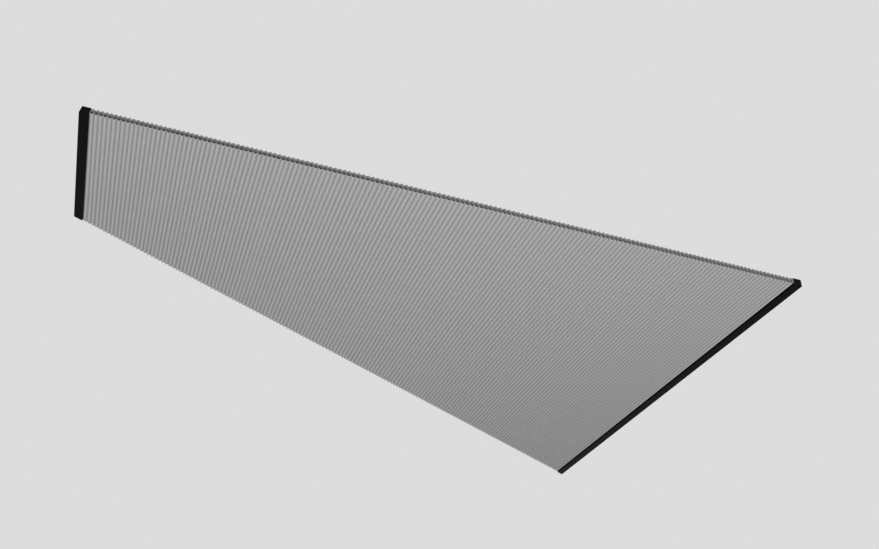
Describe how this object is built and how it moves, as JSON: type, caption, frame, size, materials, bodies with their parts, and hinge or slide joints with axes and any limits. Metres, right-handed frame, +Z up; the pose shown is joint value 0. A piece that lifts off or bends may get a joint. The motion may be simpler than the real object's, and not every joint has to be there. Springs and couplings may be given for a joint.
{
  "type": "skylight window blind",
  "caption": "Tapered honeycomb blind for a ceiling skylight: a narrow closing rail travels on taut wires towards a wide fixed headrail.",
  "frame": {"origin": "centre of the middle headrail bracket's wall face, on the wide end wall", "axes": "+X from the narrow end towards the wide end wall, +Y to the far side, +Z up towards the glass; the room is below"},
  "size_m": [2.0196, 1.4484, 0.025],
  "materials": {
    "black_rail": "near-black satin anodised extrusion",
    "black_moulding": "black moulded plastic, fine matt grain",
    "cell_fabric": "neutral grey non-woven honeycomb fabric",
    "plated_steel": "bright zinc-plated steel",
    "stainless_wire": "stranded stainless steel",
    "nylon": "natural white nylon",
    "soft_rubber": "matt black rubber",
    "grey_casing": "smooth grey casing",
    "cord_braid": "grey braided polyester cord"
  },
  "bodies": {
    "headrail": {"headrail_channel": "black_rail", "headrail_cap_near": "black_moulding", "headrail_cap_far": "black_moulding", "wheel_cradle_near": "black_moulding", "wheel_cradle_far": "black_moulding", "cellular_fabric": "cell_fabric", "headrail_bracket_near": "plated_steel", "headrail_bracket_mid": "plated_steel", "headrail_bracket_far": "plated_steel", "return_bracket_near": "plated_steel", "return_bracket_far": "plated_steel", "wire_nut_near": "plated_steel", "wire_nut_far": "plated_steel", "guide_wire_near": "stainless_wire", "guide_wire_far": "stainless_wire", "return_pin_near": "stainless_wire", "return_pin_far": "stainless_wire", "headrail_strip": "nylon", "motor_saddle_near": "soft_rubber", "motor_saddle_far": "soft_rubber", "battery_saddle_near": "soft_rubber", "battery_saddle_far": "soft_rubber", "motor_lead": "soft_rubber", "battery_lead": "soft_rubber", "motor": "grey_casing", "control_module": "grey_casing", "battery": "grey_casing", "cord_loop_near": "cord_braid", "cord_loop_far": "cord_braid"},
    "closing_rail": {"closing_rail_channel": "black_rail", "closing_rail_cap_near": "black_moulding", "closing_rail_cap_far": "black_moulding", "closing_rail_strip": "nylon", "cord_clamp_near": "plated_steel", "cord_clamp_far": "plated_steel", "guide_bush_near": "nylon", "guide_bush_far": "nylon"},
    "drive_train": {"drive_shaft": "plated_steel", "drive_wheel_near": "nylon", "drive_wheel_far": "nylon", "motor_coupler": "black_moulding", "motor_spindle": "plated_steel"},
    "near_pulley": {"return_pulley_near": "nylon"},
    "far_pulley": {"return_pulley_far": "nylon"}
  },
  "joints": [
    {"name": "rail_slide", "type": "slide", "parent": "headrail", "child": "closing_rail", "axis": [1, 0, 0], "range_m": [0, 1.77762], "deforming": ["cellular_fabric"]},
    {"name": "drive_turn", "type": "hinge", "parent": "headrail", "child": "drive_train", "pos_m": [-0.01105, 0, 0], "axis": [0, 1, 0], "range_deg": [-14550.02, 0]},
    {"name": "near_pulley_turn", "type": "hinge", "parent": "headrail", "child": "near_pulley", "pos_m": [-2.01162, -0.34, 0], "axis": [0, 1, 0], "range_deg": [-25462.53, 0]},
    {"name": "far_pulley_turn", "type": "hinge", "parent": "headrail", "child": "far_pulley", "pos_m": [-2.01162, -0.039, 0], "axis": [0, 1, 0], "range_deg": [-25462.53, 0]}
  ],
  "couplings": [
    {"joint": "drive_turn", "follows": "rail_slide", "rad_per_m": -142.86},
    {"joint": "near_pulley_turn", "follows": "rail_slide", "rad_per_m": -250},
    {"joint": "far_pulley_turn", "follows": "rail_slide", "rad_per_m": -250}
  ]
}
